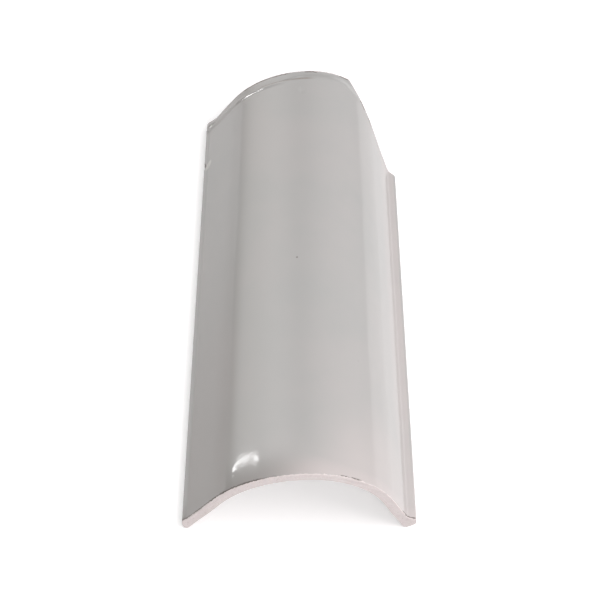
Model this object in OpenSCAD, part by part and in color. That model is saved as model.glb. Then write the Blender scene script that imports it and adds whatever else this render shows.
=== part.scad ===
// Verge end tile: a tapered vault of glazed clay that stands on a toe along each side.
// The crown sits to one side of the middle, so one leg is slack and the other steep.
// The narrow head carries a lowered lap for the next tile, and the head corner above
// the steep leg is clipped away.

/* [Vault] */
// Length from the front edge to the head edge
tile_length = 450; // [380:1:520]
// Width across both toes at the front
front_width = 200; // [190:1:220]
// Width across both toes at the head
head_width = 184; // [174:1:194]
// Height of the crown at the front
front_height = 91; // [84:1:98]
// Fall of the crown line from front to head
crown_fall = 3; // [0:0.5:6]
// Sideways distance of the crown from the middle of the tile
crown_shift = 11; // [4:1:18]
// Thickness of the wall
wall = 9.5; // [8:0.5:12]
// Slope of the slack leg from the level
slack_slope = 55; // [52:1:60]
// Slope of the steep leg from the level
steep_slope = 67; // [62:1:74]

/* [Toes] */
// Width of the slack foot at floor level, from the tip to the inner face
slack_foot = 5; // [4.5:0.5:8]
// Width of the steep foot at floor level, from the tip to the inner face
steep_foot = 11; // [10:0.5:14]
// Height of the slack tip
slack_tip = 12; // [10:0.5:14]
// Height of the steep tip
steep_tip = 13; // [11:0.5:15]
// Slope of the slack toe's top from the level
slack_toe_slope = 42; // [30:1:45]
// Slope of the steep toe's top from the level
steep_toe_slope = 20; // [10:1:35]
// Width of the chamfer under the slack tip
slack_chamfer_width = 2.5; // [1:0.5:3]
// Height of the chamfer under the slack tip
slack_chamfer_height = 4; // [1:0.5:5]
// Width of the chamfer under the steep tip
steep_chamfer_width = 7; // [3:0.5:8]
// Height of the chamfer under the steep tip
steep_chamfer_height = 5; // [2:0.5:6]

/* [Head] */
// Length of the lowered lap at the head
lap_length = 12; // [6:1:20]
// Depth of the step down to the lap
lap_step = 2.5; // [1:0.5:3]
// Width of the clipped corner at the head, measured from the steep tip
clip_across = 43; // [30:1:60]
// Length of the clipped corner along the tile
clip_along = 68; // [40:1:90]
// Width of the steep toe where the clip ends on it
clip_toe_width = 6; // [4:0.5:8]
// Angle of the toe's end below the clip, away from square
clip_toe_angle = 33; // [0:1:45]
// Diameter of the blind nail mark
nail_mark_diameter = 8; // [5:0.5:10]
// Depth of the blind nail mark
nail_mark_depth = 1.5; // [1:0.5:3]
// Distance from the head edge to the nail mark
nail_mark_setback = 27; // [26:1:60]
// Sideways distance of the nail mark from the middle of the tile
nail_mark_shift = 4; // [-10:1:4]

/* [Hidden] */
// Facets of round shapes
$fn = 180;
// Length by which joining and cutting shapes run past the stock
overrun = 20;
// Side of the slack leg and of the steep leg
slack_side = -1;
steep_side = 1;
// Positions along the tile
front_y = -tile_length / 2;
head_y = tile_length / 2;
lap_y = head_y - lap_length;
clip_y = head_y - clip_along;
// Values of one side
function slope(side) = side < 0 ? slack_slope : steep_slope;
function foot(side) = side < 0 ? slack_foot : steep_foot;
function tip(side) = side < 0 ? slack_tip : steep_tip;
function toe_slope(side) = side < 0 ? slack_toe_slope : steep_toe_slope;
function chamfer_width(side) = side < 0 ? slack_chamfer_width : steep_chamfer_width;
function chamfer_height(side) = side < 0 ? slack_chamfer_height : steep_chamfer_height;
// Outer radius of the vault on one side at the front, from its inner half span and rise
function half_span(side) = front_width / 2 - foot(side) - side * crown_shift;
function inner_radius(side) = (half_span(side) - (front_height - wall) / tan(slope(side))) / tan(slope(side) / 2);
function outer_radius(side) = inner_radius(side) + wall;
// Loss of radius from front to head, shared by both sides so that they meet along one crown line
leg_spread = 1 / tan(slack_slope) + 1 / tan(steep_slope);
arc_spread = tan(slack_slope / 2) + tan(steep_slope / 2);
radius_loss = (front_width - head_width - crown_fall * leg_spread) / arc_spread;
// Slope of the cone side, angle of that side to the axis and tilt of the axis
cone_rate = radius_loss / tile_length;
cone_angle = atan(cone_rate);
axis_tilt = cone_angle - atan(crown_fall / tile_length);
// Angle of each tip line to the length of the tile
tip_angle = atan((front_width - head_width) / 2 / tile_length);
// Half width of the tile and height of the crown at a position along it
function half_width(y) = (front_width + (head_width - front_width) * (y - front_y) / tile_length) / 2;
function crown_height(y) = front_height - crown_fall * (y - front_y) / tile_length;
// Distance from the tip to the outer face of the leg at floor level
function leg_start(side, inset) = foot(side) - (wall - inset) / sin(slope(side));
// Distance from the tip to the line where the toe's top meets the leg
function toe_width(side, inset) =
    (tip(side) - inset + leg_start(side, inset) * tan(slope(side))) / (tan(slope(side)) - tan(toe_slope(side)));
// Height of the toe's top at a distance from the tip
function toe_top(side, inset, distance) = tip(side) - inset + distance * tan(toe_slope(side));

// Places shapes on the axis of the vault's cone on one side
module on_axis(side) {
    translate([crown_shift, front_y, front_height])
        rotate([axis_tilt, 0, 0])
            translate([0, 0, -outer_radius(side)])
                children();
}

// Cone of the vault, drawn inward by an inset
module vault_cone(side, inset) {
    on_axis(side)
        translate([0, -overrun, 0])
            rotate([-90, 0, 0])
                rotate([0, 0, 90])
                    cylinder(
                        h = tile_length + 2 * overrun,
                        r1 = outer_radius(side) - inset + cone_rate * overrun,
                        r2 = outer_radius(side) - inset - cone_rate * (tile_length + overrun)
                    );
}

// Arched part of one side, from the crown line to the line where the leg begins
module vault(side, inset) {
    intersection() {
        difference() {
            vault_cone(side, inset);
            vault_cone(side, wall);
        }
        translate([side < 0 ? crown_shift - front_width : crown_shift, front_y - overrun, -front_width])
            cube([front_width, tile_length + 2 * overrun, 2 * front_width]);
        on_axis(side)
            rotate([0, side * slope(side), 0])
                translate([side < 0 ? 0 : -front_width, -2 * overrun, -front_width])
                    cube([front_width, tile_length + 4 * overrun, 2 * front_width]);
    }
}

// Straight leg of one side, running on from the vault without a bend
module leg(side, inset) {
    on_axis(side)
        rotate([0, side * slope(side), 0])
            translate([0, 0, outer_radius(side)])
                rotate([-cone_angle, 0, 0])
                    translate([side < 0 ? -front_width : 0, -overrun, -wall * cos(cone_angle)])
                        cube([front_width, tile_length + 2 * overrun, (wall - inset) * cos(cone_angle)]);
}

// Bar along one tip, with a section drawn in distances from the tip and heights
module tip_bar(side, points) {
    translate([side * front_width / 2, front_y, 0])
        rotate([0, 0, side * tip_angle])
            translate([0, tile_length + overrun, 0])
                rotate([90, 0, 0])
                    linear_extrude(height = tile_length + 2 * overrun)
                        polygon([for (point = points) [-side * point[0], point[1]]]);
}

// Toe that runs along one foot
module toe(side, inset) {
    root = toe_width(side, inset) + wall / 4;
    tip_bar(side, [
        [-overrun, toe_top(side, inset, -overrun)],
        [root, toe_top(side, inset, root)],
        [foot(side) / 2, -overrun],
        [-overrun, -overrun]
    ]);
}

// Cutter for the chamfer under one tip
module chamfer(side) {
    pitch = chamfer_height(side) / chamfer_width(side);
    tip_bar(side, [
        [-overrun, chamfer_height(side) + overrun * pitch],
        [chamfer_width(side) + overrun / pitch, -overrun],
        [-overrun, -overrun]
    ]);
}

// Plan of the tile between two positions along it
module plan(from_y, to_y) {
    polygon([
        [-half_width(from_y), from_y],
        [half_width(from_y), from_y],
        [half_width(to_y), to_y],
        [-half_width(to_y), to_y]
    ]);
}

// Length of the tile between two positions, with its upper surface lowered by an inset
module stretch(from_y, to_y, inset) {
    intersection() {
        union() {
            vault(slack_side, inset);
            vault(steep_side, inset);
            leg(slack_side, inset);
            leg(steep_side, inset);
            toe(slack_side, inset);
            toe(steep_side, inset);
        }
        linear_extrude(height = front_height + overrun)
            plan(from_y, to_y);
    }
}

// Corner taken off the head, with the end of the toe below it
module clipped_corner() {
    toe_x = half_width(clip_y) - clip_toe_width;
    outside_x = half_width(clip_y) + overrun;
    clip_x = half_width(head_y) - clip_across;
    translate([0, 0, -overrun])
        linear_extrude(height = front_height + 2 * overrun)
            polygon([
                [clip_x, head_y],
                [toe_x, clip_y],
                [outside_x, clip_y - (outside_x - toe_x) * tan(clip_toe_angle)],
                [outside_x, head_y + overrun],
                [clip_x, head_y + overrun]
            ]);
}

// Shallow blind nail mark beside the crown
module nail_mark() {
    mark_y = head_y - nail_mark_setback;
    translate([nail_mark_shift, mark_y, crown_height(mark_y) - nail_mark_depth])
        cylinder(h = overrun, d = nail_mark_diameter);
}

// The whole tile
module verge_end_tile() {
    color("gainsboro")
        difference() {
            union() {
                stretch(front_y, lap_y, 0);
                stretch(lap_y, head_y, lap_step);
            }
            chamfer(slack_side);
            chamfer(steep_side);
            clipped_corner();
            nail_mark();
        }
}

verge_end_tile();
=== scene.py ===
"""Verge end tile: a glazed clay vault with two toes, a lap and a clipped corner, on a studio floor."""
import math
from types import SimpleNamespace

import bmesh
import bpy
from bpy.props import FloatProperty, FloatVectorProperty, IntProperty, PointerProperty
from mathutils import Matrix, Quaternion, Vector, noise


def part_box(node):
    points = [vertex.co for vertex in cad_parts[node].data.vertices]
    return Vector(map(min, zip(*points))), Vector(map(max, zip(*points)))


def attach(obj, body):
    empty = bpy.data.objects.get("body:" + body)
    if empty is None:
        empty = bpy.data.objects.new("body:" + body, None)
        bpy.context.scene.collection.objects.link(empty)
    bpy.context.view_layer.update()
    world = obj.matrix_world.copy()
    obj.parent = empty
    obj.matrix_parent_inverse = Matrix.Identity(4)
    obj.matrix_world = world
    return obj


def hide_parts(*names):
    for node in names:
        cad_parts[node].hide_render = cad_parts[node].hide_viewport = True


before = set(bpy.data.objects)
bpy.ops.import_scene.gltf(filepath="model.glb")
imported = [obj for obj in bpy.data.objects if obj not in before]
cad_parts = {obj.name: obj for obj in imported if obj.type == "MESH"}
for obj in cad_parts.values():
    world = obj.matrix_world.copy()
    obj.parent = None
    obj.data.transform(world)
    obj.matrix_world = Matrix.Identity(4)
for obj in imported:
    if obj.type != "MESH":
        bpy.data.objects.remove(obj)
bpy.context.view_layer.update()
LOW, HIGH = (Vector(corner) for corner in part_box("verge_end_tile"))

bl_info = {
    "name": "Verge End Tile",
    "version": (1, 0, 0),
    "blender": (4, 5, 0),
    "location": "3D View > Sidebar > Verge Tile",
    "description": "Builds a glazed clay verge end tile and the studio it stands in",
    "category": "Add Mesh",
}

# Sizes that each flank has of its own
FLANK_SIZES = ("slope", "foot", "tip", "toe_slope", "heel_width", "heel_height")
# Roundness of the section's corners
CORNER_ROUNDS = {"root": 0.002, "tip": 0.0016, "heel": 0.0009}
# Lines of the section longer than this are divided, and the number of cuts
LONG_LINE, LINE_CUTS = 0.02, 9
# Share of the heel's height above which the toe is glazed
GLAZED_HEEL = 0.6
# Rows cut across the lap: their number, their spacing and the first one's distance from the lap line
LAP_ROWS, LAP_ROW_GAP, LAP_FIRST_ROW = 23, 0.00075, -0.006
# Lip in front of the lap: its crest, measured from the lap line, and the length of the rise to it
LIP_CREST, LIP_RISE = -0.0006, 0.0054
# Shares of the lip's height: at the crown, added on the slack arc, and added for each metre down the leg
LIP_CROWN, LIP_ARC, LIP_LEG = 0.25, 0.74, 9.0
# Places across the tile between which the lip grows on the arc, and where it starts to grow on the leg
LIP_ARC_SPAN, LIP_LEG_START = (0.004, -0.034), -0.0415
# The step eases out towards the clip: by how much, and between which places across
EASE_GAIN, EASE_SPAN = 2.2, (-0.025, 0.02)
# Bead on the slack toe past the lap line: its start, rise and fall, and its height as a share of the lip
BEAD_START, BEAD_RISE, BEAD_FALL, BEAD_SHARE = 0.0028, 0.0034, (0.0075, 0.0115), 1.36
# Heights above the toe over which the bead dies away and the sinking toe passes into the leg
BEAD_TOP, SINK_TOP = 0.008, 0.02
# How much further the slack toe's root creeps, and the share of a tip's height that sinks in full
SLACK_CREEP, FIRM_TIP = 1.5, 0.8
# Bend of the lap line beside the clip: where it starts, its rate and its limit
FLARE_START, FLARE_RATE, FLARE_LIMIT = 0.037, 24, 0.0105
# Length in front of the lap line over which the bend takes hold, and past it where it begins to let go
FLARE_LEAD, FLARE_HOLD = 0.05, 0.003
# Places across between which the lap fades out beside the clip
LAP_FADE = (0.046, 0.066)
# Places across between which the lap's marks end, and the distance by which they are set back there
LAP_MARK_END, LAP_MARK_SETBACK = (0.05, 0.066), 0.02
# Points nearer than this to the clip's edge are drawn to it
SLIVER = 0.0014
# Shares of the arris at which rows are cut beside each end
ARRIS_ROWS = (1, 0.65, 0.35, 0.16)
# Points nearer than this are welded after those cuts
WELD = 1.2e-4
# Reaches out to which a dent's faces are refined, and the part of its reach that is pressed in full
DENT_REFINED, DENT_FLOOR = 1.6, 0.1
# Depth behind the front edge in which the glaze is chipped, and how far the chips drop
CHIP_REACH, CHIP_DROP = 0.004, 0.35
# Chips to the metre, how much finer the small ones are, their share, and the share left whole
CHIP_SCALE, CHIP_FINER, CHIP_FINE_SHARE, CHIP_WHOLE = 140, 2.7, 0.45, 0.05
# Length behind the front edge over which it rolls down
ROLL_REACH = 0.04
# Steps aside at which the three parts of a wandering vector are read
SWAY_STEPS = (0, 17.3, 41.9)
# Warp: slow and quick waves to the metre, the quick ones' start and share, and the heights where it sets in
WARP_SLOW, WARP_QUICK, WARP_START, WARP_QUICK_SHARE = 9, 30, Vector((3, 1, 7)), 0.18
WARP_HOLD = (0.006, 0.03)
# Margin written on bare clay, and how far the glaze's edge is drawn in
CLAY_MARGIN, RIM_INSET = -0.002, 0.0005
# Place of the nail mark
NAIL_MARK = Vector((0.0036, 0.198, 0.0882))
# Nick in the slack toe: its place, its reach, its depth and the way it is pressed in
NICK = (Vector((-0.0932, 0.167, 0.012)), Vector((0.0036, 0.0042, 0.0046)), 0.0018, Vector((0.85, 0, -0.5)))
# Flaws in the glaze, each with its place, its size and its turn; the pale mark on the slack toe's nick is a
# painted highlight and the dark mark beside it a painted shadow
PINHOLE = ((-0.0009, -0.0018, 0.0887), (0.0009, 0.0009, 0.0009))
# Painted highlight on the nick
NICK_GLINT = ((-0.0885, 0.1651, 0.0167), (0.006, 0.0032, 0.004), (0, -0.546, 0.977))
# Painted shadow in the nick
NOTCH_SHADOW = ((-0.0922, 0.1672, 0.0118), (0.0016, 0.003, 0.0026))
CHIPPED_RIM = ((0.041, -0.2242, 0.082), (0.012, 0.004, 0.009))
BURNT_RIM = ((0.0545, 0.215, 0.061), (0.005, 0.0065, 0.007))
# Narrowing of each side for each unit of length
TAPER = 0.0178
# Lamps that only light the tile, each with its place, the point it looks at, its size and its colour
LAMPS = {
    "key": ((1.35, -0.6, 2.2), (0, 0, 0.05), (1.4, 1.8), (1.0, 0.94, 0.95)),
    "front": ((0.4, -2.0, 1.6), (0, -0.2, 0.05), (1.4, 1.0), (1.0, 0.985, 0.98)),
    "top": ((0, 0.2, 2.2), (0, 0.2, 0), (1.6, 1.6), (1, 1, 1)),
    "low": ((-0.9, 0.9, 0.3), (-0.08, 0.15, 0.03), (0.6, 0.4), (1, 0.93, 0.87)),
}
# Narrow lamp that also shows in the gloss, and its lean in degrees
STRIP = ((-2.375, 1.251, 1.031), (-0.043, -0.202, 0.075), (0.014, 1.4), (1, 1, 1))
STRIP_LEAN = 11.8
# Half the floor's width, and the light it gives off to the camera and to mirrors
FLOOR_REACH, FLOOR_LIFT = 6, 0.42
# Camera's pitch, yaw and roll in degrees
CAMERA_TURN = (54.26, 1.077, -1.277)
# Camera's focal length, shift and picture width in pixels, and its sensor's width in millimetres
CAMERA_FOCAL, CAMERA_SHIFT, PICTURE_WIDTH, SENSOR_WIDTH = 1802.3, (-1.12, -6.03), 600, 36
# Point that the camera looks at, and its distance from there
CAMERA_AIM, CAMERA_DISTANCE = Vector((0, 0, 0.03)), 1.65005


def length(name, description, default):
    """A length in metres that a user may change."""
    return FloatProperty(name=name, description=description, default=default, unit="LENGTH", precision=4)


def angle(name, description, default):
    """An angle that a user may change, given in degrees."""
    return FloatProperty(name=name, description=description, default=math.radians(default), subtype="ANGLE")


def colour(name, description, default):
    """A colour that a user may change."""
    return FloatVectorProperty(
        name=name, description=description, default=default, subtype="COLOR", min=0, max=1)


def share(name, description, default):
    """A plain number that a user may change."""
    return FloatProperty(name=name, description=description, default=default, min=0)


class TileShape(bpy.types.PropertyGroup):
    """Sizes of the fired clay."""

    length: length("Length", "From the front edge to the head edge", HIGH.y - LOW.y)
    width: length("Front width", "Across both toes at the front", HIGH.x - LOW.x)
    height: length("Height", "Crown above the floor at the front", HIGH.z - LOW.z)
    head_width: length("Head width", "Across both toes at the head", 0.184)
    crown_fall: length("Crown fall", "Fall of the crown from front to head", 0.003)
    crown_shift: length("Crown shift", "Sideways distance of the crown from the middle", 0.011)
    wall: length("Wall", "Thickness of the clay", 0.0095)
    slack_slope: angle("Slack slope", "Slope of the slack leg", 55)
    steep_slope: angle("Steep slope", "Slope of the steep leg", 67)
    slack_foot: length("Slack foot", "Width of the slack foot on the floor", 0.005)
    steep_foot: length("Steep foot", "Width of the steep foot on the floor", 0.011)
    slack_tip: length("Slack tip", "Height of the slack toe's tip", 0.012)
    steep_tip: length("Steep tip", "Height of the steep toe's tip", 0.013)
    slack_toe_slope: angle("Slack toe slope", "Slope of the slack toe's top", 42)
    steep_toe_slope: angle("Steep toe slope", "Slope of the steep toe's top", 20)
    slack_heel_width: length("Slack heel width", "Width of the chamfer under the slack tip", 0.0025)
    slack_heel_height: length("Slack heel height", "Height of the chamfer under the slack tip", 0.004)
    steep_heel_width: length("Steep heel width", "Width of the chamfer under the steep tip", 0.007)
    steep_heel_height: length("Steep heel height", "Height of the chamfer under the steep tip", 0.005)
    lap_length: length("Lap length", "Length of the lowered lap at the head", 0.012)
    lap_step: length("Lap step", "Depth of the step down to the lap", 0.0025)
    lap_ease: length("Lap ease", "Length over which the step down to the lap is eased", 0.0034)
    lap_lip: length("Lap lip", "Height of the low lip in front of the lap", 0.0008)
    front_roll: length("Front roll", "How far the front edge rolls down", 0.0009)
    clip_across: length("Clip across", "Width of the clipped corner at the head", 0.043)
    clip_along: length("Clip along", "Length of the clipped corner along the tile", 0.068)
    clip_toe_width: length("Clip toe width", "Width of the steep toe where the clip ends", 0.006)
    clip_toe_angle: angle("Clip toe angle", "Angle of the toe's end away from square", 33)
    mark_diameter: length("Nail mark diameter", "Across the blind nail mark", 0.009)
    mark_depth: length("Nail mark depth", "Depth of the blind nail mark", 0.0006)
    arris: length("Arris", "Roundness of the cut edges", 0.0008)
    warp: length("Firing warp", "How far the fired surface strays from true", 0.0005)
    chipping: length("Chipping", "How far the glaze is broken back from the front edge", 0.0012)
    arc_steps: IntProperty(name="Arc steps", description="Facets of each flank's arc", default=40, min=8)
    rows: IntProperty(name="Rows", description="Cross rows along the tile", default=110, min=20)


class TileFinish(bpy.types.PropertyGroup):
    """Colours of the glaze and the clay."""

    glaze: colour("Glaze", "Main colour of the glaze", (0.43, 0.431, 0.423))
    blush: colour("Glaze blush", "Warmer clouds in the glaze", (0.455, 0.446, 0.438))
    # The rim colour also paints the shadow in the nick and the shade along the slack side's front edge
    rim: colour("Glaze rim", "Thin glaze along its broken edges", (0.12, 0.1, 0.09))
    # Painted shade: a dark brown mixed into the glaze on the slack leg and behind the slack side's front
    # edge
    painted_shade_slack: colour("Thin glaze, slack", "Thin glaze on the slack side", (0.31, 0.285, 0.27))
    # Pale pink mixed into the glaze on the steep side: partly the pink of thin glaze, partly painted light
    # on the steep toe and behind the front edge
    pink_glaze_and_light_steep: colour("Thin glaze, steep", "Thin glaze on the steep side", (0.68, 0.6, 0.59))
    lap_line: colour("Lap line", "Thin glaze along the step to the lap", (0.30, 0.265, 0.235))
    clay: colour("Clay", "Main colour of the bare clay", (0.73, 0.655, 0.65))
    grog: colour("Grog", "Paler grains in the clay", (0.8, 0.745, 0.735))
    pits: colour("Pits", "Pits and dirt in the clay", (0.36, 0.28, 0.255))
    # Painted highlight on the nick in the slack toe
    nick_glint: colour("Scuff", "Pale scuff on the slack toe", (0.6, 0.6, 0.565))
    gloss: share("Glaze roughness", "Roughness of the fired glaze", 0.055)


class StudioStage(bpy.types.PropertyGroup):
    """Colours and strengths of the studio."""

    floor: colour("Floor", "Colour of the floor", (0.76, 0.76, 0.76))
    sky_left: share("Sky on the left", "Strength of the sky on the slack side", 0.08)
    sky_right: share("Sky on the right", "Strength of the sky on the steep side", 0.6)
    glow: share("Sky glow", "Added strength of the sky's patch behind on the left", 1.5)
    key: share("Key lamp", "Power of the large lamp on the right, in watts", 35)
    front: share("Front lamp", "Power of the lamp behind the camera, in watts", 18)
    top: share("Top lamp", "Power of the wide lamp overhead, in watts", 4.5)
    low: share("Low lamp", "Power of the low lamp behind on the left, in watts", 0.8)
    strip: share("Strip lamp", "Power of the narrow lamp behind on the left, in watts", 1.9)


def flank_of(shape, side):
    """Sizes of one flank in the plane of the front edge; the slack side is -1 and the steep side 1."""
    name = "slack" if side < 0 else "steep"
    flank = SimpleNamespace(side=side, **{key: getattr(shape, name + "_" + key) for key in FLANK_SIZES})
    span = shape.width / 2 - flank.foot - side * shape.crown_shift
    rise = shape.height - shape.wall
    inner = (span - rise / math.tan(flank.slope)) / math.tan(flank.slope / 2)
    flank.radius = inner + shape.wall
    flank.centre = Vector((shape.crown_shift, -shape.length / 2, shape.height - flank.radius))
    flank.leg_top = flank.centre.z + flank.radius * math.cos(flank.slope)
    start = flank.foot - shape.wall / math.sin(flank.slope)
    grip = math.tan(flank.slope) - math.tan(flank.toe_slope)
    flank.toe = (flank.tip + start * math.tan(flank.slope)) / grip
    flank.toe_root = flank.tip + flank.toe * math.tan(flank.toe_slope)
    return flank


def radius_loss(shape, flanks):
    """Radius that both flanks lose from front to head, so that they keep one crown line."""
    legs = sum(1 / math.tan(flank.slope) for flank in flanks)
    arcs = sum(math.tan(flank.slope / 2) for flank in flanks)
    return (shape.width - shape.head_width - shape.crown_fall * legs) / arcs


def drift(shape, flanks, loss, point):
    """Sideways and upward move of a point of the front section by the time it reaches the head."""
    flank = flanks[0] if point.x < shape.crown_shift else flanks[1]
    side = flank.side
    if abs(point.x) > shape.width / 2 - flank.foot:
        return Vector((-side * (shape.width - shape.head_width) / 2, 0, 0))
    turn = math.atan2(abs(point.x - shape.crown_shift), point.z - flank.centre.z)
    turn = min(turn, flank.slope)
    arc = Vector((-side * loss * math.sin(turn), 0, loss - shape.crown_fall - loss * math.cos(turn)))
    if point.z >= flank.leg_top or turn < flank.slope:
        return arc
    inward = shape.crown_fall / math.tan(flank.slope) + loss * math.tan(flank.slope / 2)
    return Vector((-side * inward, 0, 0)).lerp(arc, max(0, point.z / flank.leg_top))


def depth_in_wall(shape, flanks, point):
    """Depth of a point of the front section below the glazed face."""
    flank = flanks[0] if point.x < shape.crown_shift else flanks[1]
    away = Vector((abs(point.x - shape.crown_shift), 0, point.z - flank.centre.z))
    if math.atan2(away.x, away.z) < flank.slope:
        return flank.radius - away.length
    return flank.radius - away.dot(Vector((math.sin(flank.slope), 0, math.cos(flank.slope))))


def draw_to(bm, start, x, z):
    """Draws a straight line of the section from a point and returns its far end."""
    end = bmesh.ops.extrude_vert_indiv(bm, verts=[start])["verts"][0]
    end.co.x, end.co.z = x, z
    return end


def section(bm, shape, flanks):
    """Draws the closed outline of the front edge: two arcs, legs, toes and the inner face."""
    front = -shape.length / 2
    crown = bm.verts.new((shape.crown_shift, front, shape.height))
    soffit = bm.verts.new((shape.crown_shift, front, shape.height - shape.wall))
    corners = {name: [] for name in CORNER_ROUNDS}
    for flank in flanks:
        side, half = flank.side, shape.width / 2
        ends = []
        for top in (crown, soffit):
            spun = bmesh.ops.spin(
                bm, geom=[top], cent=flank.centre, axis=(0, 1, 0), dvec=(0, 0, 0),
                angle=side * flank.slope, steps=shape.arc_steps, use_duplicate=False)
            ends.append(spun["geom_last"][0])
        root = draw_to(bm, ends[0], side * (half - flank.toe), flank.toe_root)
        tip = draw_to(bm, root, side * half, flank.tip)
        low = draw_to(bm, tip, side * half, flank.heel_height)
        heel = draw_to(bm, low, side * (half - flank.heel_width), 0)
        foot = draw_to(bm, heel, side * (half - flank.foot), 0)
        inner = draw_to(bm, ends[1], foot.co.x, 0)
        bmesh.ops.weld_verts(bm, targetmap={inner: foot})
        corners["root"].append(root)
        corners["tip"] += [tip, low]
        corners["heel"] += [heel, foot]
    for name, offset in CORNER_ROUNDS.items():
        bmesh.ops.bevel(
            bm, geom=corners[name], offset=offset, offset_type="OFFSET", segments=4,
            profile=0.5, affect="VERTICES", material=-1)
    legs = [edge for edge in bm.edges if edge.calc_length() > LONG_LINE]
    bmesh.ops.subdivide_edges(bm, edges=legs, cuts=LINE_CUTS)
    bmesh.ops.remove_doubles(bm, verts=bm.verts[:], dist=1e-6)


def run_out(bm, shape, flanks):
    """Draws the section out to the head, tapering it, and divides it into rows of faces."""
    loss = radius_loss(shape, flanks)
    coat = bm.verts.layers.float.new("coat")

    def glazed(point):
        flank = flanks[0] if point.x < shape.crown_shift else flanks[1]
        outer = depth_in_wall(shape, flanks, point) < shape.wall / 2
        return outer and point.z > GLAZED_HEEL * flank.heel_height

    cap = bmesh.ops.contextual_create(bm, geom=bm.edges[:])["faces"]
    cap = bmesh.ops.extrude_discrete_faces(bm, faces=cap)["faces"][0]
    far = cap.verts[:]
    bmesh.ops.delete(bm, geom=[cap], context="FACES_ONLY")
    for vert in bm.verts:
        vert[coat] = 1.0 if glazed(vert.co) else 0.0
    for vert in far:
        vert.co += drift(shape, flanks, loss, vert.co) + Vector((0, shape.length, 0))
    runs = [edge for edge in bm.edges if abs(edge.verts[0].co.y - edge.verts[1].co.y) > shape.length / 2]
    bmesh.ops.subdivide_edges(bm, edges=runs, cuts=shape.rows)
    bmesh.ops.recalc_face_normals(bm, faces=bm.faces[:])
    crown = max(bm.faces, key=lambda face: face.calc_center_median().z)
    if crown.normal.z < 0:
        bmesh.ops.reverse_faces(bm, faces=bm.faces[:])
    for face in bm.faces:
        face.smooth = True
        face.material_index = 0 if all(vert[coat] > 0.5 for vert in face.verts) else 1
    return coat


def smoothstep(low, high, value):
    """Eases from 0 at low to 1 at high."""
    t = min(1, max(0, (value - low) / (high - low)))
    return t * t * (3 - 2 * t)


def lap_flare(x):
    """How far the lap line bends towards the front beside the clip."""
    return min(FLARE_LIMIT, FLARE_RATE * max(0, x - FLARE_START) ** 2)


def lap_depth(shape, flank, point, distance):
    """Depth of the glazed face below true, by distance past the lap line: a lip, the step and a bead."""
    growth = LIP_CROWN + LIP_ARC * smoothstep(*LIP_ARC_SPAN, point.x)
    lip = shape.lap_lip * (growth + LIP_LEG * max(0, LIP_LEG_START - point.x))
    if distance < LIP_CREST:
        return -lip * smoothstep(LIP_CREST - LIP_RISE, LIP_CREST, distance)
    ease = shape.lap_ease * (1 + EASE_GAIN * smoothstep(*EASE_SPAN, point.x))
    depth = -lip + (lip + shape.lap_step) * smoothstep(LIP_CREST, LIP_CREST + ease, distance)
    if flank.side < 0:
        low = 1 - smoothstep(flank.toe_root, flank.toe_root + BEAD_TOP, point.z)
        swell = min(1, max(0, (distance - BEAD_START) / BEAD_RISE)) * (1 - smoothstep(*BEAD_FALL, distance))
        depth -= BEAD_SHARE * shape.lap_lip * low * swell
    return depth


def sinking(shape, flank, point, normal):
    """Move of a point of the glazed face for each unit by which vault, leg and toe sink."""
    side, slope, toe_slope = flank.side, flank.slope, flank.toe_slope
    creep = (1 / math.cos(slope) - 1) / (math.tan(slope) - math.tan(toe_slope))
    if side < 0:
        creep *= SLACK_CREEP
    root = Vector((-side * creep, 0, creep * math.tan(toe_slope) - 1))
    if point.z > flank.toe_root:
        return root.lerp(-normal, smoothstep(flank.toe_root, flank.toe_root + SINK_TOP, point.z))
    lean = (shape.width - shape.head_width) / 2 / shape.length
    tip = shape.head_width / 2 + lean * (shape.length / 2 - point.y)
    inner = min(1, max(0, (tip - side * point.x) / flank.toe))
    firm = smoothstep(flank.heel_height, flank.tip * FIRM_TIP, point.z)
    return Vector((root.x * inner, 0, (root.z + 1) * inner - firm))


def step_down_lap(bm, shape, flanks, coat):
    """Lowers the glazed face at the head by the lap step and bends the step round towards the clip."""
    head = shape.length / 2
    line = head - shape.lap_length
    for step in range(LAP_ROWS):
        bmesh.ops.bisect_plane(
            bm, geom=bm.verts[:] + bm.edges[:] + bm.faces[:], dist=1e-4,
            plane_co=(0, line + LAP_FIRST_ROW + LAP_ROW_GAP * step, 0), plane_no=(0, 1, 0))
    bm.normal_update()
    glazed = [(vert, vert.normal.copy()) for vert in bm.verts if vert[coat] > 0.5]
    for vert, normal in glazed:
        flank = flanks[0] if vert.co.x < shape.crown_shift else flanks[1]
        normal.y = 0
        move = sinking(shape, flank, vert.co, normal.normalized())
        fade = 1 - smoothstep(*LAP_FADE, vert.co.x)
        vert.co += move * lap_depth(shape, flank, vert.co, vert.co.y - line) * fade
    for vert in bm.verts:
        y = vert.co.y
        pull = smoothstep(line - FLARE_LEAD, line, y)
        if y >= line:
            pull = 1 - smoothstep(line + FLARE_HOLD, head, y)
        vert.co.y -= lap_flare(vert.co.x) * pull


def end_planes(shape):
    """The upright planes that end the tile, each as a point and the direction away from the tile."""
    head = shape.length / 2
    start = Vector((shape.head_width / 2 - shape.clip_across, head, 0))
    lean = (shape.width - shape.head_width) / 2 / shape.length
    end_y = head - shape.clip_along
    end_x = shape.head_width / 2 + lean * shape.clip_along - shape.clip_toe_width
    end = Vector((end_x, end_y, 0))
    run = (end - start).normalized()
    return {
        "front": (Vector((0, -head, 0)), Vector((0, -1, 0))),
        "head": (start, Vector((0, 1, 0))),
        "slant": (start, Vector((-run.y, run.x, 0))),
        "toe_end": (end, Vector((math.sin(shape.clip_toe_angle), math.cos(shape.clip_toe_angle), 0))),
    }


def beyond(plane, point):
    """Distance of a point beyond an upright plane."""
    return (point - plane[0]).dot(plane[1])


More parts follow.
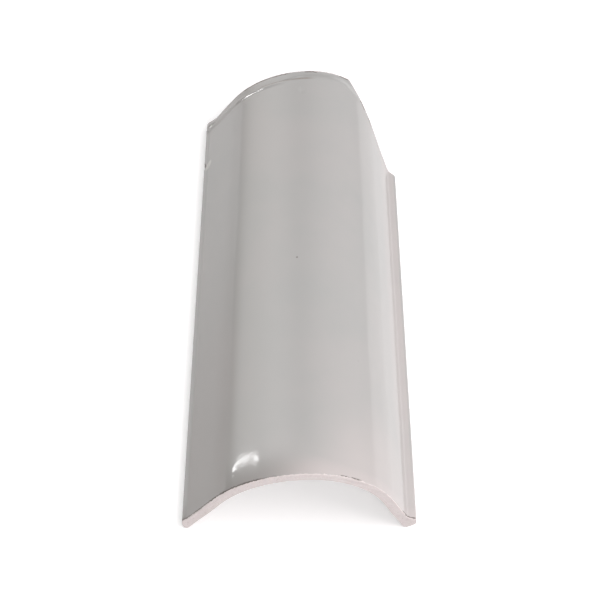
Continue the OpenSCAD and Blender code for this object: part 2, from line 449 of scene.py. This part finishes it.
def nearest_end(planes, point):
    """Distance from a point to the nearest end of the tile, and the names of the planes that lie so near."""
    away = {name: -beyond(plane, point) for name, plane in planes.items()}
    inside = min(away["front"], away["head"], max(away["slant"], away["toe_end"]))
    return inside, [name for name in away if abs(away[name] - inside) < 1e-6]


def parts_of(faces):
    """The faces with all their edges and points."""
    return list(dict.fromkeys(part for face in faces for part in (face, *face.edges, *face.verts)))


def clip_corner(bm, shape):
    """Cuts the clipped corner away above the steep leg."""
    planes = end_planes(shape)
    slant, toe_end = planes["slant"], planes["toe_end"]
    bmesh.ops.bisect_plane(bm, geom=parts_of(bm.faces), dist=1e-5, plane_co=slant[0], plane_no=slant[1])
    outside = [face for face in bm.faces if beyond(slant, face.calc_center_median()) > 0]
    bmesh.ops.bisect_plane(bm, geom=parts_of(outside), dist=1e-5, plane_co=toe_end[0], plane_no=toe_end[1])
    spare = [face for face in bm.faces if nearest_end(planes, face.calc_center_median())[0] < -1e-6]
    bmesh.ops.delete(bm, geom=spare, context="FACES")
    pull_slivers(bm, SLIVER)
    flat = [
        face for face in bm.faces for plane in (slant, toe_end)
        if all(abs(beyond(plane, vert.co)) < 1e-5 for vert in face.verts)]
    bmesh.ops.delete(bm, geom=flat, context="FACES")


def pull_slivers(bm, reach):
    """Welds points that lie just inside an open edge to that edge."""
    welds = {}
    for edge in bm.edges:
        if edge.is_boundary or edge.calc_length() > reach:
            continue
        rims = [vert for vert in edge.verts if vert.is_boundary]
        if len(rims) == 1:
            inside = edge.other_vert(rims[0])
            welds.setdefault(inside, rims[0])
    bmesh.ops.weld_verts(bm, targetmap=welds)


def round_arrises(bm, shape):
    """Rounds the edges of the ends: cuts rows beside each end and sinks them along a quarter circle."""
    planes = end_planes(shape)
    reach = shape.length / shape.rows * 2
    for point, out in planes.values():
        for part in ARRIS_ROWS:
            row = (point - out * shape.arris * part, out)
            centres = ((face, face.calc_center_median()) for face in bm.faces)
            close = [
                face for face, centre in centres
                if abs(beyond(row, centre)) < reach and nearest_end(planes, centre)[0] < reach]
            bmesh.ops.bisect_plane(bm, geom=parts_of(close), dist=1e-5, plane_co=row[0], plane_no=out)
    bmesh.ops.remove_doubles(bm, verts=bm.verts[:], dist=WELD)
    bm.normal_update()
    for vert in bm.verts:
        inside, names = nearest_end(planes, vert.co)
        if inside >= shape.arris:
            continue
        rest = 1 - inside / shape.arris
        depth = shape.arris * (1 - math.sqrt(max(0, 1 - rest * rest)))
        normal = vert.normal.copy()
        out = planes[names[0]][1]
        along = normal - out * normal.dot(out) if len(names) == 1 else Vector((0, 0, normal.z))
        vert.co -= along * depth / max(0.2, along.dot(normal))


def close_ends(bm, shape):
    """Closes the front, the head, the clip and the toe's end with flat faces of bare clay."""
    planes = end_planes(shape)

    def lies_on(name, vert):
        return abs(beyond(planes[name], vert.co)) < 2e-5

    for pair in (("head", "slant"), ("slant", "toe_end")):
        fold = [vert for vert in bm.verts if vert.is_boundary and all(lies_on(name, vert) for name in pair)]
        if len(fold) != 2:
            raise RuntimeError("The clip meets the clay in %d points where 2 belong" % len(fold))
        bmesh.ops.contextual_create(bm, geom=fold)
    for name in planes:
        rim = [
            edge for edge in bm.edges
            if len(edge.link_faces) < 2 and all(lies_on(name, vert) for vert in edge.verts)]
        made = bmesh.ops.contextual_create(bm, geom=rim)["faces"]
        if not made:
            raise RuntimeError("The %s face was not closed" % name)
        for face in made:
            face.material_index = 1
            face.smooth = False
    bmesh.ops.recalc_face_normals(bm, faces=bm.faces[:])


def dent(bm, centre, reach, depth, direction):
    """Presses a soft dent into the glazed face after refining the faces round it."""
    def gap(point):
        away = point - centre
        return Vector((away.x / reach.x, away.y / reach.y, away.z / reach.z)).length

    close = [
        face for face in bm.faces
        if face.material_index == 0 and gap(face.calc_center_median()) < DENT_REFINED]
    edges = dict.fromkeys(edge for face in close for edge in face.edges)
    bmesh.ops.subdivide_edges(bm, edges=list(edges), cuts=2, use_grid_fill=True)
    for vert in bm.verts:
        vert.co += direction * depth * (1 - smoothstep(DENT_FLOOR, 1, gap(vert.co)))


def break_front_edge(bm, shape):
    """Breaks the glaze back in small chips along the front edge."""
    front = -shape.length / 2
    for vert in bm.verts:
        back = vert.co.y - front
        if back > CHIP_REACH or all(face.material_index == 1 for face in vert.link_faces):
            continue
        place = vert.co * CHIP_SCALE
        bite = max(0, noise.noise(place) + CHIP_FINE_SHARE * noise.noise(place * CHIP_FINER) - CHIP_WHOLE)
        vert.co.y += shape.chipping * bite * (1 - back / CHIP_REACH)
        vert.co.z -= CHIP_DROP * shape.chipping * bite * (1 - back / CHIP_REACH)


def sway(place):
    """A smooth wandering vector that is the same for the same place."""
    return Vector([noise.noise(place + Vector((step, -step, step))) for step in SWAY_STEPS])


def warp_in_firing(bm, shape):
    """Moves the whole wall a little out of true, as fired clay lies, and lets the front roll over."""
    front = -shape.length / 2
    for vert in bm.verts:
        hold = smoothstep(*WARP_HOLD, vert.co.z)
        slow = sway(vert.co * WARP_SLOW)
        quick = sway(vert.co * WARP_QUICK + WARP_START)
        vert.co += hold * shape.warp * (slow + WARP_QUICK_SHARE * quick)
        roll = max(0, 1 - (vert.co.y - front) / ROLL_REACH)
        vert.co.z -= shape.front_roll * roll * roll * hold


def measure_coat(bm, shape):
    """Writes on each point how far it lies from the glaze's edge and from the lap line."""
    planes = end_planes(shape)
    line = shape.length / 2 - shape.lap_length
    margin = bm.verts.layers.float.new("glaze_margin")
    lap = bm.verts.layers.float.new("lap_distance")
    for vert in bm.verts:
        kinds = {face.material_index for face in vert.link_faces}
        inside = nearest_end(planes, vert.co)[0]
        vert[margin] = CLAY_MARGIN if kinds == {1} else (inside if kinds == {0} else 0) - RIM_INSET
        x = vert.co.x
        vert[lap] = vert.co.y - line + lap_flare(x) - LAP_MARK_SETBACK * smoothstep(*LAP_MARK_END, x)
    for face in bm.faces:
        face.material_index = 0


class Shader:
    """Adds nodes to a material or a sky and joins them up."""

    def __init__(self, tree):
        self.tree = tree
        self.tree.nodes.clear()

    def add(self, kind, sockets=None, **settings):
        """Adds a node; a socket value is either another node's output or a plain value."""
        node = self.tree.nodes.new(kind)
        for key, value in settings.items():
            setattr(node, key, value)
        for key, value in (sockets or {}).items():
            if isinstance(value, bpy.types.NodeSocket):
                self.tree.links.new(value, node.inputs[key])
            else:
                node.inputs[key].default_value = value
        return node

    def grain(self, coords, scale, detail=3, roughness=0.55):
        """Cloudy noise from 0 to 1, with its scale in patches to the metre."""
        node = self.add(
            "ShaderNodeTexNoise",
            {"Vector": coords, "Scale": scale, "Detail": detail, "Roughness": roughness})
        return node.outputs["Fac"]

    def cells(self, coords, scale):
        """Distance to the nearest of many scattered points, and a chance value for each."""
        node = self.add("ShaderNodeTexVoronoi", {"Vector": coords, "Scale": scale})
        return node.outputs["Distance"], node.outputs["Color"]

    def fit(self, value, low, high, to_low=0.0, to_high=1.0):
        """Eases a value from one range to another."""
        node = self.add(
            "ShaderNodeMapRange",
            {"Value": value, "From Min": low, "From Max": high, "To Min": to_low, "To Max": to_high},
            interpolation_type="SMOOTHSTEP")
        return node.outputs["Result"]

    def join(self, first, second, operation="ADD"):
        """Joins two values by adding them or by another operation."""
        return self.add("ShaderNodeMath", {0: first, 1: second}, operation=operation).outputs["Value"]

    def times(self, first, second):
        """Multiplies two values."""
        return self.join(first, second, "MULTIPLY")

    def tint(self, amount, first, second):
        """Mixes two colours."""
        node = self.add("ShaderNodeMix", {0: amount, 6: first, 7: second}, data_type="RGBA")
        return node.outputs[2]

    def blend(self, amount, first, second):
        """Mixes two values."""
        node = self.add("ShaderNodeMix", {0: amount, 2: first, 3: second}, data_type="FLOAT")
        return node.outputs[0]

    def spot(self, coords, place, size, turn=(0, 0, 0)):
        """An oval spot at a place on the piece, from 0 at its edge to 1 within."""
        node = self.add(
            "ShaderNodeMapping", {"Vector": coords, "Location": place, "Rotation": turn, "Scale": size},
            vector_type="TEXTURE")
        away = self.add("ShaderNodeVectorMath", {0: node.outputs["Vector"]}, operation="LENGTH")
        return self.fit(away.outputs["Value"], 1.2, 0.7)

    def reading(self, name):
        """A value written on the piece's points, in millimetres."""
        node = self.add("ShaderNodeAttribute", attribute_name=name)
        return self.times(node.outputs["Fac"], 1000.0)


def paint(value):
    """A colour property as a shader colour."""
    return (*value, 1.0)


def broken_rim(make, coords, across):
    """Where the clay lies bare at the glaze's edge, and the dark line of thin glaze beside it, with painted
    shade that keeps the line dark all along the slack side.
    """
    ragged = make.join(make.grain(coords, 420, 4, 0.6), 0.5, "SUBTRACT")
    broken = make.join(make.reading("glaze_margin"), make.times(ragged, 2.6))
    shade_patches = make.fit(make.grain(coords, 60, 2), 0.3, 0.55)
    dashes = make.fit(make.grain(coords, 48, 1), 0.56, 0.62)
    chipped = make.times(make.spot(coords, *CHIPPED_RIM), make.fit(make.grain(coords, 210, 2), 0.42, 0.55))
    dashes = make.join(dashes, make.join(chipped, make.spot(coords, *BURNT_RIM), "MAXIMUM"), "MAXIMUM")
    # Painted shade: the line is dark all along the slack side, and only in dashes on the steep side
    dark = make.blend(make.fit(across, -0.035, -0.01), make.fit(shade_patches, 0, 1, 0.5, 1.0), dashes)
    return make.fit(broken, 0.5, 0.15), make.times(make.fit(broken, 1.9, 0.9), dark)


def shade_light_and_pink_glaze(make, across, along):
    """How strongly the glaze is tinted: painted shade on the slack leg, deeper towards the front; painted
    light, partly the pink of thin glaze, on the steep toe; and behind the front edge, painted shade on the
    slack side and painted light, partly pink, on the steep side.
    """
    edge = make.join(make.join(across, 0.0, "ABSOLUTE"), make.times(along, TAPER))
    # Painted shade on the slack leg, deeper towards the front
    leg = make.times(make.fit(edge, 0.094, 0.09), make.fit(edge, 0.046, 0.062))
    leg = make.times(leg, make.fit(along, 0.18, -0.225, 0.1, 0.65))
    leg = make.times(leg, make.fit(across, 0, -0.02))
    # Painted light on the steep toe, partly the pink of thin glaze
    toe = make.times(make.fit(edge, 0.095, 0.093), make.fit(edge, 0.078, 0.088))
    toe = make.times(toe, make.fit(across, 0, 0.02, 0.0, 0.3))
    # Behind the front edge: painted shade on the slack side, painted light on the steep side
    front = make.fit(along, -0.2, -0.223, 0.0, 0.45)
    # Painted light and pink on the steep side, growing towards the front
    pink_and_light_front = make.times(make.fit(along, -0.12, -0.22, 0.0, 0.3), make.fit(across, 0.0, 0.05))
    return make.join(make.join(front, pink_and_light_front, "MAXIMUM"), make.join(leg, toe), "MAXIMUM")


def lap_line(make, coords, across, lap):
    """The brown line of thin glaze along the step to the lap, on both sides of the crown."""
    line = make.times(make.fit(lap, -1.7, -0.8), make.fit(lap, 1.2, 0.4))
    reach = make.times(make.fit(across, -0.045, -0.03), make.fit(across, 0.018, 0.006))
    return make.times(line, make.times(reach, make.fit(make.grain(coords, 75, 3), 0.25, 0.6, 0.35)))


def glazed_clay(finish):
    """Pale glaze with clouds, flaws, a broken rim and painted shade and light, over pink clay with grain and
    pits.
    """
    material = bpy.data.materials.new("Glazed clay")
    material.use_nodes = True
    make = Shader(material.node_tree)
    coords = make.add("ShaderNodeTexCoord").outputs["Object"]
    place = make.add("ShaderNodeSeparateXYZ", {0: coords}).outputs
    across, along = place["X"], place["Y"]
    lap = make.reading("lap_distance")
    bare, rim_line_and_shade = broken_rim(make, coords, across)

    clouds = make.fit(make.grain(coords, 11, 3), 0.35, 0.68)
    glaze = make.tint(clouds, paint(finish.glaze), paint(finish.blush))
    # Painted shade tone on the slack side, and a pale pink tone, partly painted light, on the steep side
    thin = make.tint(make.fit(across, -0.035, 0.025), paint(finish.painted_shade_slack), paint(finish.pink_glaze_and_light_steep))
    glaze = make.tint(shade_light_and_pink_glaze(make, across, along), glaze, thin)
    gap, chance = make.cells(coords, 95)
    specks = make.times(make.fit(gap, 0.09, 0.05), make.fit(chance, 0.90, 0.93))
    for mask, strength, tone in (
            (specks, 0.5, finish.rim),
            (make.spot(coords, *PINHOLE), 0.6, finish.rim),
            # Painted highlight on the nick
            (make.spot(coords, *NICK_GLINT), 0.75, finish.nick_glint),
            # Painted shadow in the nick
            (make.spot(coords, *NOTCH_SHADOW), 0.75, finish.rim),
            (lap_line(make, coords, across, lap), 0.8, finish.lap_line),
            # Dark line at the glaze's edge, painted shade along the slack side
            (rim_line_and_shade, 0.9, finish.rim)):
        glaze = make.tint(make.times(mask, strength), glaze, paint(tone))

    fine = make.grain(coords, 900, 5, 0.65)
    clay = make.tint(make.fit(fine, 0.35, 0.7), paint(finish.clay), paint(finish.grog))
    hollow, luck = make.cells(coords, 520)
    pits = make.times(make.fit(hollow, 0.3, 0.12), make.fit(luck, 0.72, 0.8))
    soil = make.fit(make.grain(coords, 26, 4), 0.52, 0.75)
    for mask, strength in ((pits, 0.6), (soil, 0.22)):
        clay = make.tint(make.times(mask, strength), clay, paint(finish.pits))

    skin, waves = make.times(make.grain(coords, 260, 2), 0.06), make.times(make.grain(coords, 38, 2), 0.12)
    ripples = make.join(make.join(skin, waves), 0.09, "SUBTRACT")
    smooth_by_lap = make.fit(lap, -8, -16)
    glaze_height = make.join(make.times(ripples, smooth_by_lap), make.times(specks, 0.3), "SUBTRACT")
    clay_height = make.join(make.times(fine, 0.5), make.times(pits, 0.6), "SUBTRACT")
    height = make.blend(bare, glaze_height, clay_height)
    relief = make.add("ShaderNodeBump", {"Height": height, "Strength": 0.5, "Distance": 0.0008})
    sheen = make.fit(make.grain(coords, 20, 3), 0.3, 0.7, finish.gloss - 0.015, finish.gloss + 0.025)

    body = make.add("ShaderNodeBsdfPrincipled", {
        "Base Color": make.tint(bare, glaze, clay),
        "Roughness": make.blend(bare, sheen, 0.92),
        "Normal": relief.outputs["Normal"],
        "IOR": 1.6,
    })
    make.add("ShaderNodeOutputMaterial", {"Surface": body.outputs["BSDF"]})
    return material


class VERGETILE_OT_tile(bpy.types.Operator):
    """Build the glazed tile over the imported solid"""

    bl_idname = "vergetile.tile"
    bl_label = "Glazed Tile"

    def execute(self, context):
        """Models the clay, cuts its lap and clip, rounds and wears its edges and glazes it."""
        shape = context.scene.verge_tile_shape
        flanks = [flank_of(shape, side) for side in (-1, 1)]
        bm = bmesh.new()
        section(bm, shape, flanks)
        coat = run_out(bm, shape, flanks)
        step_down_lap(bm, shape, flanks, coat)
        clip_corner(bm, shape)
        round_arrises(bm, shape)
        close_ends(bm, shape)
        across = shape.mark_diameter / 2
        dent(bm, NAIL_MARK, Vector((across, across * 1.3, across)), shape.mark_depth, Vector((0, 0, -1)))
        dent(bm, *NICK)
        break_front_edge(bm, shape)
        warp_in_firing(bm, shape)
        measure_coat(bm, shape)
        mesh = bpy.data.meshes.new("glazed_tile")
        bm.to_mesh(mesh)
        bm.free()
        mesh.materials.append(glazed_clay(context.scene.verge_tile_finish))
        tile = bpy.data.objects.new("glazed_tile", mesh)
        context.scene.collection.objects.link(tile)
        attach(tile, "root")
        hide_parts("verge_end_tile")
        return {"FINISHED"}


def soft_lamp(scene, name, power, setting, lean=0.0, mirrored=False):
    """A rectangular lamp that looks at a point, leaning to one side; a mirrored one shows in the gloss."""
    place, aim, size, tone = setting
    light = bpy.data.lights.new(name, "AREA")
    light.shape = "RECTANGLE"
    light.size, light.size_y = size
    light.energy = power
    light.color = tone
    lamp = bpy.data.objects.new(name, light)
    lamp.location = place
    turn = (Vector(aim) - Vector(place)).to_track_quat("-Z", "Y")
    lamp.rotation_euler = (turn @ Quaternion((0, 0, 1), lean)).to_euler()
    lamp.visible_glossy = mirrored
    scene.collection.objects.link(lamp)


def studio_floor(stage):
    """A wide pale floor that shows white to the camera and keeps the tile's shadow."""
    bm = bmesh.new()
    bmesh.ops.create_grid(bm, x_segments=4, y_segments=4, size=FLOOR_REACH)
    mesh = bpy.data.meshes.new("floor")
    bm.to_mesh(mesh)
    bm.free()
    material = bpy.data.materials.new("Floor paint")
    material.use_nodes = True
    make = Shader(material.node_tree)
    rays = make.add("ShaderNodeLightPath").outputs
    seen = make.join(rays["Is Camera Ray"], make.join(rays["Is Glossy Ray"], rays["Is Transmission Ray"]))
    matt = make.add("ShaderNodeBsdfDiffuse", {"Color": paint(stage.floor)})
    strength = make.times(make.join(seen, 1.0, "MINIMUM"), FLOOR_LIFT)
    lift = make.add("ShaderNodeEmission", {"Strength": strength})
    both = make.add("ShaderNodeAddShader", {0: matt.outputs[0], 1: lift.outputs[0]})
    make.add("ShaderNodeOutputMaterial", {"Surface": both.outputs[0]})
    mesh.materials.append(material)
    return bpy.data.objects.new("floor", mesh)


def studio_sky(scene, stage):
    """Soft light from all round, stronger from the right and from a patch behind on the left."""
    world = bpy.data.worlds.new("Studio sky")
    scene.world = world
    world.use_nodes = True
    make = Shader(world.node_tree)
    toward = make.add("ShaderNodeTexCoord").outputs["Generated"]
    bright_side = {0: toward, 1: (0.95, -0.1, 0.3)}
    right = make.add("ShaderNodeVectorMath", bright_side, operation="DOT_PRODUCT").outputs["Value"]
    aside = make.add("ShaderNodeSeparateXYZ", {0: toward}).outputs
    band = make.times(make.fit(aside["Z"], -0.35, 0.35), make.fit(aside["X"], -0.1, -0.6))
    patch = make.times(band, make.fit(aside["Y"], 0.455, 0.515, 0.0, stage.glow))
    light = make.join(make.fit(right, -0.9, 0.9, stage.sky_left, stage.sky_right), patch)
    tone = make.tint(make.fit(right, -0.9, 0.3), (1, 0.965, 0.93, 1), (1, 1, 1, 1))
    shine = make.add("ShaderNodeBackground", {"Color": tone, "Strength": light})
    make.add("ShaderNodeOutputWorld", {"Surface": shine.outputs[0]})


def studio_camera(scene):
    """Camera above the front edge, looking down along the tile."""
    pitch, yaw, roll = (math.radians(value) for value in CAMERA_TURN)
    back = Vector((math.sin(yaw) * math.cos(pitch), -math.cos(yaw) * math.cos(pitch), math.sin(pitch)))
    right = Vector((math.cos(yaw), math.sin(yaw), 0))
    up = back.cross(right)
    right, up = (
        math.cos(roll) * right + math.sin(roll) * up,
        math.cos(roll) * up - math.sin(roll) * right)
    eye = CAMERA_AIM + back * CAMERA_DISTANCE
    shift_x, shift_y = CAMERA_SHIFT
    back = (back + right * shift_x / CAMERA_FOCAL - up * shift_y / CAMERA_FOCAL).normalized()
    right = (right - back * right.dot(back)).normalized()
    up = back.cross(right)
    camera = bpy.data.objects.new("camera", bpy.data.cameras.new("camera"))
    camera.data.lens = SENSOR_WIDTH * CAMERA_FOCAL / PICTURE_WIDTH
    camera.data.clip_end = 50
    camera.matrix_world = Matrix.Translation(eye) @ Matrix((right, up, back)).transposed().to_4x4()
    scene.collection.objects.link(camera)
    scene.camera = camera


class VERGETILE_OT_stage(bpy.types.Operator):
    """Set up the floor, the lamps, the sky and the camera"""

    bl_idname = "vergetile.stage"
    bl_label = "Studio Stage"

    def execute(self, context):
        """Lays the floor, hangs the lamps and places the camera."""
        scene, stage = context.scene, context.scene.verge_tile_stage
        floor = studio_floor(stage)
        scene.collection.objects.link(floor)
        studio_sky(scene, stage)
        for name, setting in LAMPS.items():
            soft_lamp(scene, name, getattr(stage, name), setting)
        soft_lamp(scene, "strip", stage.strip, STRIP, math.radians(STRIP_LEAN), True)
        studio_camera(scene)
        scene.view_settings.view_transform = "Standard"
        return {"FINISHED"}


class VERGETILE_PT_panel(bpy.types.Panel):
    """Buttons and sizes of the tile"""

    bl_idname = "VERGETILE_PT_panel"
    bl_label = "Verge Tile"
    bl_space_type = "VIEW_3D"
    bl_region_type = "UI"
    bl_category = "Verge Tile"

    def draw(self, context):
        """Lists the operators, then the sizes and colours."""
        layout, scene = self.layout, context.scene
        layout.operator(VERGETILE_OT_tile.bl_idname)
        layout.operator(VERGETILE_OT_stage.bl_idname)
        for group in (scene.verge_tile_shape, scene.verge_tile_finish, scene.verge_tile_stage):
            box = layout.box()
            for key in group.__annotations__:
                box.prop(group, key)


CLASSES = (TileShape, TileFinish, StudioStage, VERGETILE_OT_tile, VERGETILE_OT_stage, VERGETILE_PT_panel)


def register():
    """Adds the classes and the settings to Blender."""
    for cls in CLASSES:
        bpy.utils.register_class(cls)
    bpy.types.Scene.verge_tile_shape = PointerProperty(type=TileShape)
    bpy.types.Scene.verge_tile_finish = PointerProperty(type=TileFinish)
    bpy.types.Scene.verge_tile_stage = PointerProperty(type=StudioStage)


def unregister():
    """Takes the settings and the classes out of Blender."""
    del bpy.types.Scene.verge_tile_stage
    del bpy.types.Scene.verge_tile_finish
    del bpy.types.Scene.verge_tile_shape
    for cls in reversed(CLASSES):
        bpy.utils.unregister_class(cls)


def main():
    """Builds the tile and its stage."""
    register()
    bpy.ops.vergetile.tile()
    bpy.ops.vergetile.stage()


if __name__ == "__main__":
    main()
